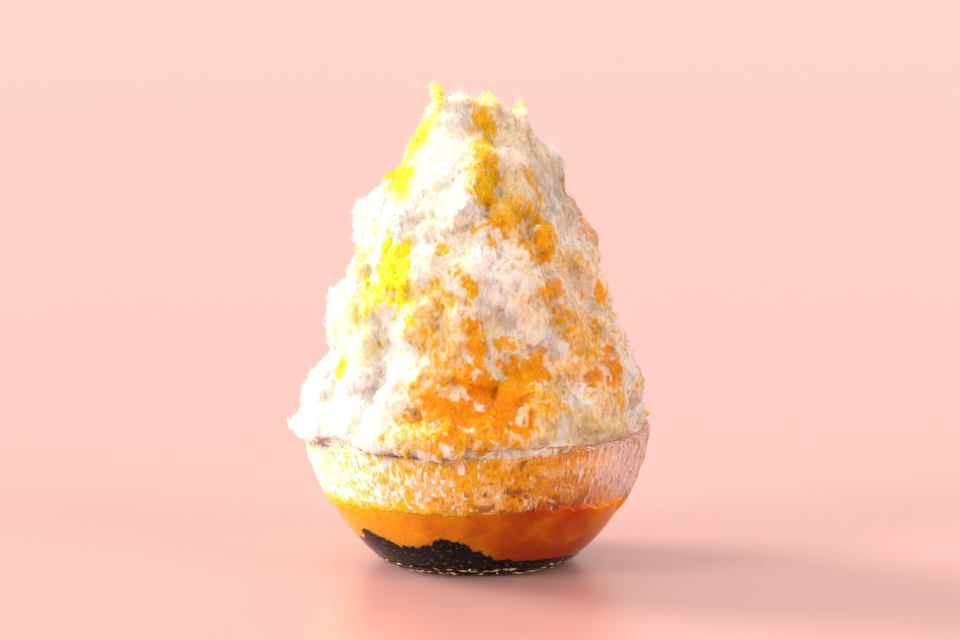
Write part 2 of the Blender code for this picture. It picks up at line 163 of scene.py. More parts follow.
# Stains that face the camera: pixel (x, y), half width and half height in millimetres, lean to the right
# at the top in degrees, strength, and warmth from lemon 0 to orange 1
FRONT_POURS = (
    (437, 93, 2, 5, -20, 0.9, 0.00),
    (421, 135, 2.2, 13, 30, 0.8, 0.00),
    (401, 184, 4.5, 6, 0, 0.95, 0.00),
    (394, 270, 5.5, 10, 10, 0.95, 0.00),
    (362, 256, 7, 8, 0, 0.38, 0.00),
    (378, 300, 11, 7, -20, 0.60, 0.05),
    (352, 250, 4, 7, 0, 0.45, 0.00),
    (341, 370, 3, 3, 0, 0.8, 0.00),
    (381, 342, 3, 2.5, 0, 0.40, 0.25),
    (356, 330, 9, 12, 0, 0.22, 0.00),
    (425, 320, 12, 9, -20, 0.50, 0.42),
    (410, 300, 7, 7, 0, 0.50, 0.20),
    (445, 300, 9, 5, 30, 0.55, 0.50),
    (466, 281, 5, 3.0, 40, 0.85, 0.62),
    (440, 251, 2.2, 2.5, 0, 0.80, 0.50),
    (440, 345, 9, 7, 0, 0.50, 0.55),
    (483, 122, 4.0, 9, -8, 1.5, 0.50),
    (485, 152, 4.6, 12, -4, 1.5, 0.52),
    (484, 185, 5.6, 11, 6, 1.5, 0.54),
    (497, 212, 8, 5, -10, 0.9, 0.58),
    (516, 222, 9, 4, -30, 0.9, 0.66),
    (541, 240, 6.6, 7.6, -20, 1.5, 0.68),
    (521, 106, 1.6, 4, 0, 1.0, 0.10),
    (494, 98, 1.6, 5, 10, 0.7, 0.15),
    (535, 190, 1.2, 9, -25, 0.8, 0.60),
    (520, 185, 6, 9, 0, 0.30, 0.45),
    (548, 294, 6, 4, -30, 0.75, 0.70),
    (570, 262, 6, 3, 0, 0.45, 0.50),
    (598, 288, 3.2, 9, -15, 0.95, 0.70),
    (563, 318, 4, 9, -40, 0.60, 0.60),
    (585, 345, 7, 8, -35, 0.60, 0.62),
    (612, 372, 5, 8, 25, 0.80, 0.85),
    (592, 378, 4, 3, 0, 0.80, 0.85),
    (622, 402, 3, 9, -35, 0.60, 0.60),
    (600, 425, 14, 8, -10, 0.35, 0.40),
    (478, 343, 2.8, 8.0, -8, 1.5, 0.72),
    (505, 345, 4, 3, 0, 0.8, 0.70),
    (522, 374, 9, 6, -15, 1.6, 0.76),
    (494, 398, 13, 8, 28, 1.6, 0.88),
    (457, 420, 13, 7, 12, 1.3, 0.82),
    (430, 402, 9, 8, 0, 0.62, 0.55),
    (448, 378, 8, 5, 0, 0.62, 0.58),
    (468, 440, 15, 6, 0, 0.80, 0.66),
    (420, 436, 13, 7, 0, 0.55, 0.50),
    (413, 414, 3, 3, 0, 0.50, 0.40),
    (545, 402, 13, 7, -10, 0.62, 0.52),
    (530, 436, 12, 5, 0, 0.45, 0.50),
    (565, 372, 6, 6, 0, 0.50, 0.55),
)

# Stains on the back, which the photograph doesn't show: half sizes in millimetres and leans in degrees
BACK_SEED = 5
BACK_POURS = 26
BACK_SECTOR = (math.radians(4), math.radians(176))
BACK_HEIGHTS = (0.056, 0.146)
BACK_HALF_WIDTHS = (3, 12)
BACK_HALF_HEIGHTS = (4, 13)
BACK_LEANS = (-35, 35)
BACK_STRENGTHS = (0.45, 1.1)

# How far round its centre a stain may spread, and how deep it goes in from there
STAIN_REACH = 0.03
STAIN_DEPTH = 0.012

# Single needles that stand out from the heap: pixel (x, y), length in millimetres, lean to the right at the
# top in degrees, and width in millimetres
STRAY_SEED = 41
STRAYS = (
    (562, 205, 6.5, 52, 0.50), (567, 201, 6.0, 44, 0.45), (558, 204, 4.0, 70, 0.35),
    (436, 90, 5.0, -14, 0.70), (441, 95, 6.0, -32, 0.60), (490, 96, 5.0, 4, 0.60),
    (493, 99, 4.0, 14, 0.50), (521, 108, 4.5, 0, 0.60), (527, 112, 3.5, 62, 0.35),
    (497, 250, 7.0, -8, 0.45), (596, 342, 5.0, -30, 0.40), (505, 395, 6.0, 18, 0.40),
    (436, 398, 6.0, 40, 0.40), (452, 452, 5.0, -35, 0.40), (470, 372, 7.0, -20, 0.45),
    (344, 300, 4.0, -60, 0.35),
)


def only(obj):
    """Selects one object and nothing else."""
    bpy.ops.object.select_all(action="DESELECT")
    obj.select_set(True)
    bpy.context.view_layer.objects.active = obj


def apply_modifier(obj, modifier):
    only(obj)
    bpy.ops.object.modifier_apply(modifier=modifier.name)


def smooth(obj, degrees=180.0):
    only(obj)
    if degrees < 180.0:
        bpy.ops.object.shade_smooth_by_angle(angle=math.radians(degrees))
    else:
        bpy.ops.object.shade_smooth()


def places_of(mesh):
    places = np.empty(len(mesh.vertices) * 3, np.float32)
    mesh.vertices.foreach_get("co", places)
    return places.reshape(-1, 3).astype(float)


def normals_of(mesh):
    normals = np.empty(len(mesh.vertices) * 3, np.float32)
    mesh.vertices.foreach_get("normal", normals)
    return normals.reshape(-1, 3).astype(float)


def move_to(mesh, places):
    mesh.vertices.foreach_set("co", places.astype(np.float32).ravel())
    mesh.update()


def paint(mesh, colours, strength=1.0):
    """Stores a stain for each vertex: its colour, and its strength as the fourth value."""
    stain = mesh.attributes.new("stain", "FLOAT_COLOR", "POINT")
    rows = np.empty((len(mesh.vertices), 4), np.float32)
    rows[:, :3] = colours
    rows[:, 3] = strength
    stain.data.foreach_set("color", rows.ravel())


def clouds(places, size, octaves=1, offset=0.0, stretch=(1.0, 1.0, 1.0)):
    """Cloud noise from about -1 to 1 at many places, with lumps of one size."""
    scaled = places / (size * np.array(stretch)) + offset
    return np.array([noise.fractal(place, 1.0, 2.0, octaves) for place in scaled.tolist()])


def eased(values):
    """0 below 0, 1 above 1, and a smooth rise between."""
    held = np.clip(values, 0.0, 1.0)
    return held * held * (3.0 - 2.0 * held)


def unit(vectors):
    return vectors / np.maximum(np.linalg.norm(vectors, axis=1), 1e-9)[:, None]


def outer_wall(heights):
    """Outer radius of the smooth bowl at many heights."""
    return SIDE_GIRTH * np.sqrt(1.0 - ((SIDE_WIDEST_Z - heights) / SIDE_DEPTH) ** 2)


def inner_wall(heights):
    """Inner radius of the bowl at many heights, measured level."""
    outer = outer_wall(heights)
    outward = outer / SIDE_GIRTH**2
    upward = (heights - SIDE_WIDEST_Z) / SIDE_DEPTH**2
    return outer - WALL * np.hypot(outward, upward) / outward


def turned(name, profile, segments):
    """A turned piece, closed at both ends: a circle drawn out ring by ring through (radius, height)."""
    radius, height = profile[0]
    bpy.ops.object.select_all(action="DESELECT")
    bpy.ops.mesh.primitive_circle_add(vertices=segments, radius=radius, location=(0.0, 0.0, height))
    piece = bpy.context.object
    piece.name = name
    piece.data.name = name
    bpy.ops.object.transform_apply(location=True, rotation=False, scale=False)
    bpy.ops.object.mode_set(mode="EDIT")
    bpy.ops.mesh.select_all(action="SELECT")
    bpy.ops.mesh.edge_face_add()
    bpy.ops.mesh.select_mode(type="EDGE")
    bpy.ops.mesh.select_all(action="SELECT")
    bpy.ops.mesh.region_to_loop()
    for next_radius, next_height in profile[1:]:
        bpy.ops.mesh.extrude_edges_move(TRANSFORM_OT_translate={"value": (0.0, 0.0, next_height - height)})
        share = next_radius / radius
        bpy.ops.transform.resize(value=(share, share, 1.0), center_override=(0.0, 0.0, next_height))
        radius, height = next_radius, next_height
    bpy.ops.mesh.edge_face_add()
    bpy.ops.mesh.select_mode(type="VERT")
    bpy.ops.mesh.select_all(action="SELECT")
    bpy.ops.mesh.normals_make_consistent(inside=False)
    bpy.ops.object.mode_set(mode="OBJECT")
    return piece


def copy_of_node(name, node):
    """A copy of a solid's mesh as a piece of its own, with its loose triangles merged."""
    piece = bpy.data.objects.new(name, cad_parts[node].data.copy())
    piece.data.name = name
    piece.data.materials.clear()
    bpy.context.scene.collection.objects.link(piece)
    only(piece)
    bpy.ops.object.mode_set(mode="EDIT")
    bpy.ops.mesh.select_all(action="SELECT")
    bpy.ops.mesh.remove_doubles(threshold=1e-6)
    bpy.ops.object.mode_set(mode="OBJECT")
    return piece


def cut_at(piece, height, keep_above):
    """Cuts a piece level at a height and closes the cut."""
    only(piece)
    bpy.ops.object.mode_set(mode="EDIT")
    bpy.ops.mesh.select_all(action="SELECT")
    bpy.ops.mesh.bisect(plane_co=(0.0, 0.0, height), plane_no=(0.0, 0.0, 1.0), use_fill=True,
                        clear_inner=keep_above, clear_outer=not keep_above)
    bpy.ops.object.mode_set(mode="OBJECT")


def even_skin(piece, voxel):
    """Gives a piece one even mesh of small faces."""
    remesh = piece.modifiers.new("Even skin", "REMESH")
    remesh.mode = "VOXEL"
    remesh.voxel_size = voxel
    apply_modifier(piece, remesh)


def soften(piece, steps, low=-1.0, high=1.0):
    """Rounds off the facets of a piece, between two heights."""
    heights = places_of(piece.data)[:, 2]
    part = piece.vertex_groups.new(name="Softened")
    part.add(np.flatnonzero((heights > low) & (heights < high)).tolist(), 1.0, "REPLACE")
    relax = piece.modifiers.new("Soften", "SMOOTH")
    relax.factor = 0.5
    relax.iterations = steps
    relax.vertex_group = part.name
    apply_modifier(piece, relax)
    piece.vertex_groups.clear()


def shader_of(name):
    """A new material with its node tree and its Principled shader."""
    made = bpy.data.materials.new(name)
    made.use_nodes = True
    return made, made.node_tree, made.node_tree.nodes["Principled BSDF"]


def tall_noise(tree, grain, tall, detail):
    """Noise with lumps of one size, drawn out upwards."""
    where = tree.nodes.new("ShaderNodeTexCoord")
    drawn_out = tree.nodes.new("ShaderNodeMapping")
    drawn_out.inputs["Scale"].default_value = (1.0 / grain, 1.0 / grain, 1.0 / (grain * tall))
    lumps = tree.nodes.new("ShaderNodeTexNoise")
    lumps.inputs["Scale"].default_value = 1.0
    lumps.inputs["Detail"].default_value = detail
    tree.links.new(where.outputs["Object"], drawn_out.inputs["Vector"])
    tree.links.new(drawn_out.outputs["Vector"], lumps.inputs["Vector"])
    return lumps.outputs["Fac"]


def ranged(tree, value, low, high, to_low=0.0, to_high=1.0):
    """A value moved from one range to another, and held inside it."""
    moved = tree.nodes.new("ShaderNodeMapRange")
    moved.inputs["From Min"].default_value = low
    moved.inputs["From Max"].default_value = high
    moved.inputs["To Min"].default_value = to_low
    moved.inputs["To Max"].default_value = to_high
    tree.links.new(value, moved.inputs["Value"])
    return moved.outputs["Result"]


def combine(tree, operation, first, second):
    """Two values combined by an operation, where the second may be a plain number."""
    combined = tree.nodes.new("ShaderNodeMath")
    combined.operation = operation
    tree.links.new(first, combined.inputs[0])
    if isinstance(second, float):
        combined.inputs[1].default_value = second
    else:
        tree.links.new(second, combined.inputs[1])
    return combined.outputs["Value"]


def mixed(tree, blend, amount, first, second):
    """Two colours mixed by an amount, where either may be a plain colour."""
    mix = tree.nodes.new("ShaderNodeMix")
    mix.data_type = "RGBA"
    mix.blend_type = blend
    tree.links.new(amount, mix.inputs[0])
    for colour, socket in ((first, mix.inputs[6]), (second, mix.inputs[7])):
        if isinstance(colour, tuple):
            socket.default_value = colour
        else:
            tree.links.new(colour, socket)
    return mix.outputs[2]


def painted(tree, output="Color"):
    """The stain that the mesh carries: its colour, or its strength."""
    stain = tree.nodes.new("ShaderNodeAttribute")
    stain.attribute_name = "stain"
    return stain.outputs[output]


def flecked_stain(tree):
    """White ice with the painted stain: a thin film where it is weak, ragged flecks where it is strong."""
    strength = painted(tree, "Alpha")
    ragged = ranged(tree, tall_noise(tree, FLECK, 2.2, 4.0), 0.32, 0.68, -0.42, 0.42)
    flecks = ranged(tree, combine(tree, "ADD", strength, ragged), 0.34, 0.68)
    film = combine(tree, "MULTIPLY", strength, FILM)
    amount = combine(tree, "MAXIMUM", flecks, film)
    return mixed(tree, "MIX", amount, ICE_WHITE, painted(tree))


def rough_bump(tree, shader, source, strength, distance):
    """Feeds a noise to the shader's normal as bumps of a given depth."""
    bump = tree.nodes.new("ShaderNodeBump")
    bump.inputs["Strength"].default_value = strength
    bump.inputs["Distance"].default_value = distance
    tree.links.new(source, bump.inputs["Height"])
    tree.links.new(bump.outputs["Normal"], shader.inputs["Normal"])


def packed_ice():
    """Loosely packed ice: bright, slightly soft in the light, with painted shade that makes it warmer and
    darker in the pits of its bumps.
    """
    made, tree, shader = shader_of("packed ice")
    grain = tall_noise(tree, 0.0009, 1.8, 4.0)
    # Painted shade: darker and warmer where the bump noise is low, in the pits
    shaded = mixed(tree, "MULTIPLY", ranged(tree, grain, 0.62, 0.36), flecked_stain(tree), ICE_PAINTED_SHADE)
    tree.links.new(shaded, shader.inputs["Base Color"])
    rough_bump(tree, shader, grain, 0.8, 0.0008)
    shader.inputs["Roughness"].default_value = 0.5
    shader.inputs["Specular IOR Level"].default_value = 0.1
    shader.inputs["Subsurface Weight"].default_value = 0.8
    shader.inputs["Subsurface Radius"].default_value = (1.0, 0.9, 0.8)
    shader.inputs["Subsurface Scale"].default_value = 0.0032
    return made


def loose_ice():
    """Thin flakes and needles: some painted dimmer as shade in place of the shadows they don't cast, some
    brighter, and a little of the light goes through.
    """
    made, tree, shader = shader_of("loose ice")
    # Painted shade: the value stored on each needle darkens it, in place of the shadows that the needles
    # don't cast
    tone = tree.nodes.new("ShaderNodeAttribute")
    tone.attribute_name = "painted_shade"
    shaded = mixed(tree, "MULTIPLY", tone.outputs["Fac"], flecked_stain(tree), ICE_PAINTED_SHADE)
    tree.links.new(shaded, shader.inputs["Base Color"])
    shader.inputs["Roughness"].default_value = 0.35
    shader.inputs["IOR"].default_value = 1.31
    shader.inputs["Specular IOR Level"].default_value = 0.1
    shader.inputs["Transmission Weight"].default_value = 0.05
    shader.inputs["Subsurface Weight"].default_value = 0.6
    shader.inputs["Subsurface Radius"].default_value = (1.0, 0.9, 0.8)
    shader.inputs["Subsurface Scale"].default_value = 0.0015
    return made


def soaked_slush():
    """Wet ice that has drunk syrup, seen through the bowl: streaked down, with pale dashes painted on as
    glints of the glass, mostly where the light falls.
    """
    made, tree, shader = shader_of("soaked ice")
    grain = tall_noise(tree, 0.0010, 2.4, 2.0)
    shaded = mixed(tree, "MULTIPLY", ranged(tree, grain, 0.50, 0.36), painted(tree), (0.85, 0.60, 0.30, 1.0))
    # Painted highlights: pale dashes stand for glints of the glass, mostly on the left
    painted_glint_share = combine(tree, "MULTIPLY", painted(tree, "Alpha"), 0.18)
    painted_glass_glints = ranged(tree, combine(tree, "ADD", tall_noise(tree, 0.0015, 3.0, 1.0), painted_glint_share), 0.66, 0.73)
    tree.links.new(mixed(tree, "MIX", painted_glass_glints, shaded, (1.0, 0.96, 0.90, 1.0)), shader.inputs["Base Color"])
    rough_bump(tree, shader, grain, 0.7, 0.0012)
    shader.inputs["Roughness"].default_value = 0.35
    shader.inputs["Specular IOR Level"].default_value = 0.1
    shader.inputs["Subsurface Weight"].default_value = 0.5
    shader.inputs["Subsurface Radius"].default_value = (1.0, 0.6, 0.15)
    shader.inputs["Subsurface Scale"].default_value = 0.0009
    return made


def orange_sauce():
    """Thick fruit sauce: finely grained, with light that spreads a few millimetres inside it."""
    made, tree, shader = shader_of("orange sauce")
    grain = tall_noise(tree, 0.0011, 1.0, 4.0)
    shaded = mixed(tree, "MULTIPLY", ranged(tree, grain, 0.65, 0.38), painted(tree), (0.88, 0.72, 0.6, 1.0))
    tree.links.new(shaded, shader.inputs["Base Color"])
    shader.inputs["Roughness"].default_value = 0.3
    shader.inputs["Specular IOR Level"].default_value = 0.0
    shader.inputs["Subsurface Weight"].default_value = 1.0
    shader.inputs["Subsurface Radius"].default_value = (1.0, 0.35, 0.03)
    shader.inputs["Subsurface Scale"].default_value = 0.006
    return made


def dark_paste():
    """Wet sweet bean paste: nearly black, with pale brown glints painted into its colour where its bumps
    stand highest, since its own shine is off.
    """
    made, tree, shader = shader_of("dark paste")
    bump_and_glint_noise = tall_noise(tree, 0.0016, 0.6, 3.0)
    # Painted highlights: the black is painted pale brown where the noise is highest, as glints
    glints = ranged(tree, bump_and_glint_noise, 0.61, 0.67)
    skin = mixed(tree, "MIX", glints, (0.0004, 0.0002, 0.0001, 1.0), (0.22, 0.17, 0.14, 1.0))
    tree.links.new(skin, shader.inputs["Base Color"])
    rough_bump(tree, shader, bump_and_glint_noise, 1.0, 0.0020)
    shader.inputs["Roughness"].default_value = 0.35
    shader.inputs["Specular IOR Level"].default_value = 0.0
    return made


def glint_painted_glass(name, darker, lighter):
    """Thick broken glass painted in uneven colours that stand for the light it catches: painted glints."""
    made, tree, shader = shader_of(name)
    uneven = ranged(tree, tall_noise(tree, 0.0015, 1.0, 2.0), 0.35, 0.65)
    tree.links.new(mixed(tree, "MIX", uneven, darker, lighter), shader.inputs["Base Color"])
    shader.inputs["Roughness"].default_value = 0.12
    return made


def clear_glass():
    """Clear pressed glass, finely streaked down its upper half."""
    made, tree, shader = shader_of("clear glass")
    where = tree.nodes.new("ShaderNodeTexCoord")
    parts = tree.nodes.new("ShaderNodeSeparateXYZ")
    tree.links.new(where.outputs["Object"], parts.inputs["Vector"])
    in_band = ranged(tree, parts.outputs["Z"], BAND_LOW_Z - 0.001, BAND_LOW_Z + 0.004, 0.04, 1.0)
    streaks = tall_noise(tree, 0.0011, 4.0, 2.0)
    rough_bump(tree, shader, combine(tree, "MULTIPLY", streaks, in_band), 0.5, 0.0006)
    shader.inputs["Base Color"].default_value = (0.99, 0.985, 0.95, 1.0)
    shader.inputs["Roughness"].default_value = 0.01
    shader.inputs["IOR"].default_value = 1.25
    shader.inputs["Specular IOR Level"].default_value = 0.1
    shader.inputs["Transmission Weight"].default_value = 1.0
    return made


def camera_axes():
    """The camera's unit vectors forward, right and up."""
    ahead = (CAMERA_TARGET - CAMERA_PLACE).normalized()
    right = ahead.cross(Vector((0.0, 0.0, 1.0))).normalized()
    return ahead, right, right.cross(ahead)


def seen_at(pixel_x, pixel_y, piece):
    """Where a pixel of the photograph's frame falls on a piece, or None."""
    ahead, right, up = camera_axes()
    focal = CAMERA_LENS / SENSOR_WIDTH * FRAME_WIDTH
    aside = (pixel_x - FRAME_WIDTH / 2) / focal
    above = (FRAME_HEIGHT / 2 - pixel_y) / focal
    hit, place, _, _ = piece.ray_cast(CAMERA_PLACE, (ahead + right * aside + up * above).normalized())
    return place if hit else None


def nearest_seen(pixel_x, pixel_y, piece):
    """As seen_at, moved towards the heap's middle until it falls on the piece."""
    centre_x = FRAME_WIDTH / 2
    for step in range(SEARCH_STEPS):
        share = step / SEARCH_WHOLE_WAY
        place = seen_at(pixel_x + share * (centre_x - pixel_x), pixel_y + share * SEARCH_DROP, piece)
        if place is not None:
            return place
    return None


def pours_on(heap, draw):
    """All stains as (centre, aside, along, half width, half height, strength, warmth)."""
    rows = []
    for pixel_x, pixel_y, half_width, half_height, lean, strength, warmth in FRONT_POURS:
        centre = nearest_seen(pixel_x, pixel_y, heap)
        if centre is not None:
            rows.append((centre, half_width, half_height, lean, strength, warmth))
    for index in range(BACK_POURS):
        angle = BACK_SECTOR[0] + (BACK_SECTOR[1] - BACK_SECTOR[0]) * (index + draw.random()) / BACK_POURS
        height = draw.uniform(*BACK_HEIGHTS)
        outside = Vector((math.cos(angle), math.sin(angle), 0.0)) * 0.2 + Vector((0.0, 0.0, height))
        hit, centre, _, _ = heap.ray_cast(outside, -Vector((math.cos(angle), math.sin(angle), 0.0)))
        if hit:
            warmth = 0.40 + 0.30 * math.cos(angle) + draw.uniform(-0.12, 0.12)
            rows.append((centre, draw.uniform(*BACK_HALF_WIDTHS), draw.uniform(*BACK_HALF_HEIGHTS),
                         draw.uniform(*BACK_LEANS), draw.uniform(*BACK_STRENGTHS), max(0.0, warmth)))
    pours = []
    for centre, half_width, half_height, lean, strength, warmth in rows:
        angle = math.atan2(centre.y, centre.x)
        across = Vector((-math.sin(angle), math.cos(angle), 0.0))
        if centre.y < 0 and abs(centre.x) < 0.9 * abs(centre.y) + 0.02:
            across = Vector((1.0, 0.0, 0.0))
        up = Vector((0.0, 0.0, 1.0))
        tilt = math.radians(lean)
        along = up * math.cos(tilt) + across * math.sin(tilt)
        aside = across * math.cos(tilt) - up * math.sin(tilt)
        pours.append((np.array(centre), np.array(aside), np.array(along), half_width / 1000,
                      half_height / 1000, strength, warmth))
    return pours


def syrup_at(places, pours):
    """Strength and warmth of the syrup at many places."""
    ragged = 0.75 * clouds(places, 0.0056, 3, 4.0) + 0.45 * clouds(places, 0.0018, 2, 14.0, (1.0, 1.0, 2.2))
    # Partly painted shade: the thin film all over is partly syrup and partly a warm painted shade, stronger
    # and more amber towards the right and low down, away from the light
    to_right = eased(0.5 + places[:, 0] / 0.09)
    low_down = eased((0.095 - places[:, 2]) / 0.045)
    patches = eased(0.6 + 1.6 * clouds(places, 0.013, 3, 9.0))
    strength = patches * (0.06 + 0.22 * to_right * (1.0 + 0.7 * low_down))
    warmth = 0.15 + 0.45 * to_right
    for centre, aside, along, half_width, half_height, full, warm in pours:
        offset = places - centre
        near = (np.abs(offset) < STAIN_REACH).all(axis=1)
        if not near.any():
            continue
        offset = offset[near]
        sideways = np.abs(offset @ aside / half_width)
        upwards = np.abs(offset @ along / half_height)
        reach = (sideways**3 + upwards**3) ** (1 / 3)
        depth = np.abs(offset[:, 1]) if abs(centre[1]) > abs(centre[0]) else np.abs(offset[:, 0])
        amount = full * eased((1.05 - reach - ragged[near]) / 0.35) * (depth < STAIN_DEPTH)
        rows = np.flatnonzero(near)
        stronger = amount > strength[rows]
        warmth[rows[stronger]] = warm
        strength[rows] = np.maximum(strength[rows], amount)
    return strength, np.clip(warmth, 0.0, 1.0)


def syrup_colours(warmth):
    """The colour of full-strength syrup, from lemon over amber to orange."""
    low = np.clip(warmth * 2.0, 0.0, 1.0)[:, None]
    high = np.clip(warmth * 2.0 - 1.0, 0.0, 1.0)[:, None]
    return LEMON * (1 - low) + AMBER * (low - high) + ORANGE * high


def fibrous_relief(places, normals):
    """Pushes the heap's skin in and out: hollows, soft clods, and fine ridges that run down the slope."""
    hollows = -0.0014 * eased(3.0 * clouds(places, 0.0125, 2, 21.0) - 0.35)
    clods = 0.0005 * clouds(places, 0.0055, 2, 33.0)
    drift = np.stack([clouds(places, 0.016, 1, 51.0 + 7 * side) for side in range(3)], axis=1) * 0.005
    ridges = 1.0 - 2.0 * np.abs(clouds(places + drift, 0.0022, 2, 47.0, (1.0, 1.0, 4.5)))
    return places + normals * (hollows + clods + 0.00060 * ridges)[:, None]


def crown_shaped(places):
    """Lowers the crown between its tips, down to a jagged line."""
    across, tops = np.array(CROWN_LINE).T / 1000.0
    line = np.interp(places[:, 0], across, tops) + 0.0005 * clouds(places, 0.0016, 2, 71.0)
    places[:, 2] -= 0.9 * np.maximum(places[:, 2] - line, 0.0)
    return places


def ice_heap():
    """The heap above the rim."""
    heap = copy_of_node("ice_heap", "shaved_ice")
    cut_at(heap, CUT_Z - CUT_OVERLAP, True)
    even_skin(heap, HEAP_VOXEL)
    soften(heap, HEAP_SOFTENING)
    soften(heap, LEDGE_SOFTENING, *LEDGE)
    move_to(heap.data, crown_shaped(fibrous_relief(places_of(heap.data), normals_of(heap.data))))
    return heap


def soaked_ice():
    """The ice inside the bowl: it meets the glass except on the right, and is amber and rusty with syrup.
    Painted light creams its left and marks it with painted glints of the glass; painted shade darkens it to
    the right.
    """
    soaked = copy_of_node("soaked_ice", "shaved_ice")
    cut_at(soaked, CUT_Z, False)
    even_skin(soaked, SOAKED_VOXEL)
    places = places_of(soaked.data)
    places += normals_of(soaked.data) * (0.0006 * clouds(places, 0.0022, 2, 13.0))[:, None]
    radius = np.hypot(places[:, 0], places[:, 1])
    wall = inner_wall(np.clip(places[:, 2], INNER_FLOOR_Z, BOWL_HEIGHT))
    by_wall = (radius > wall - ICE_NEAR_WALL) & (places[:, 2] < BOWL_HEIGHT)
    share = np.where(by_wall, (wall + ICE_INTO_WALL) / np.maximum(radius, 1e-6), 1.0)
    places[:, :2] *= share[:, None]
    move_to(soaked.data, places)
    height = places[:, 2]
    to_right = eased(0.45 + places[:, 0] / 0.07)
    near_sauce = (0.0300 - height) * 200.0
    rust = eased(0.1 + 3.4 * clouds(places, 0.0034, 3, 3.0) + near_sauce) * eased(1.6 * to_right)
    patches = eased(0.30 + 2.4 * clouds(places, 0.0075, 3, 17.0) - 0.30 * to_right)
    pale = 0.6 * patches * eased((height - 0.0255) / 0.004)
    # Painted shade: the tint is darkened towards the right, away from the light
    tint = syrup_colours(0.50 + 0.36 * to_right) * (1.0 - 0.25 * to_right)[:, None]
    colours = tint + (PEACH - tint) * pale[:, None]
    colours += 0.9 * rust[:, None] * (RUST - colours)
    above_sauce = eased((height - 0.0265) / 0.003)
    # Painted light: cream laid over the left, above the sauce
    painted_edge_light = 0.45 * eased((-0.026 - places[:, 0]) / 0.024) * above_sauce
    colours += painted_edge_light[:, None] * (PAINTED_LIGHT_CREAM - colours)
    # Painted highlights: the share of glass glints painted on the left, carried as the fourth value instead
    # of a stain's strength
    painted_glint_share = eased(0.32 - places[:, 0] / 0.048) * above_sauce
    paint(soaked.data, colours, 0.06 + 0.94 * painted_glint_share)
    return soaked


def sample_skin(mesh, count, chance, draw):
    """Random places on a mesh's skin, with its normals, thinned by a chance for each face."""
    mesh.calc_loop_triangles()
    corners = np.empty(len(mesh.loop_triangles) * 3, np.int32)
    mesh.loop_triangles.foreach_get("vertices", corners)
    corners = corners.reshape(-1, 3)
    places = places_of(mesh)
    normals = normals_of(mesh)
    a, b, c = (places[corners[:, side]] for side in range(3))
    area = 0.5 * np.linalg.norm(np.cross(b - a, c - a), axis=1)
    middle = (a + b + c) / 3.0
    weight = area * chance(middle) * (middle[:, 2] > SCATTER_LOW_Z)
    face = draw.choice(len(corners), size=count, p=weight / weight.sum())
    first, second = np.sort(draw.random((2, count)), axis=0)
    shares = np.stack([first, second - first, 1.0 - second], axis=1)
    where = (places[corners[face]] * shares[:, :, None]).sum(axis=1)
    facing = (normals[corners[face]] * shares[:, :, None]).sum(axis=1)
    return where, unit(facing)


def fibre_ways(places, normals, draw, swing, spread):
    """The way the fibres lie: up the slope, turned from place to place and a little from fibre to fibre."""
    up = np.array((0.0, 0.0, 1.0)) - normals * normals[:, 2:3]
    up[np.linalg.norm(up, axis=1) < 1e-4] = (1.0, 0.0, 0.0)
    up = unit(up)
    across = np.cross(normals, up)
    turn = swing * clouds(places, FIBRE_FIELD, 2, 61.0) + spread * draw.normal(size=len(places))
    return up * np.cos(turn)[:, None] + across * np.sin(turn)[:, None]


def joined_mesh(name, places, faces, looks):
    """One mesh object from corners and triangles, with each corner's colour, stain strength and painted
    shade.
    """
    mesh = bpy.data.meshes.new(name)
    mesh.vertices.add(len(places))
    mesh.vertices.foreach_set("co", places.astype(np.float32).ravel())
    mesh.loops.add(faces.size)
    mesh.loops.foreach_set("vertex_index", faces.astype(np.int32).ravel())
    mesh.polygons.add(len(faces))
    mesh.polygons.foreach_set("loop_start", np.arange(0, faces.size, 3, dtype=np.int32))
    mesh.update(calc_edges=True)
    paint(mesh, looks[:, :3], looks[:, 3])
    painted_shade = mesh.attributes.new("painted_shade", "FLOAT", "POINT")
    painted_shade.data.foreach_set("value", looks[:, 4].astype(np.float32))
    made = bpy.data.objects.new(name, mesh)
    bpy.context.scene.collection.objects.link(made)
    return made


# Corners 0 and 1 are a needle's tips, and 2 to 4 go round its belly
NEEDLE_FACES = np.array(((0, 2, 3), (0, 3, 4), (0, 4, 2), (1, 3, 2), (1, 4, 3), (1, 2, 4)))


def needle_mesh(name, centres, along, normals, lengths, widths, looks, draw):
    """Needles of ice: slim, three-sided, pointed at both ends and a little bent."""
    count = len(centres)
    side = unit(np.cross(normals, along))
    out = np.cross(along, side)
    half = 0.5 * lengths[:, None]
    belly = centres + along * half * draw.uniform(-0.4, 0.4, (count, 1))
    belly = belly + out * half * draw.uniform(-0.10, 0.14, (count, 1))
    rows = [centres + along * half, centres - along * half]
    for turn in (0.0, 120.0, 240.0):
        sideways = side * math.cos(math.radians(turn)) + out * math.sin(math.radians(turn))
        rows.append(belly + sideways * 0.5 * widths[:, None])
    places = np.stack(rows, axis=1)
    starts = np.arange(count)[:, None, None] * len(rows)
    faces = (NEEDLE_FACES[None] + starts).reshape(-1, 3)
    return joined_mesh(name, places.reshape(-1, 3), faces, np.repeat(looks, len(rows), axis=0))


# Points along and across a shaving
SHEET_LONG = 5
SHEET_WIDE = 3


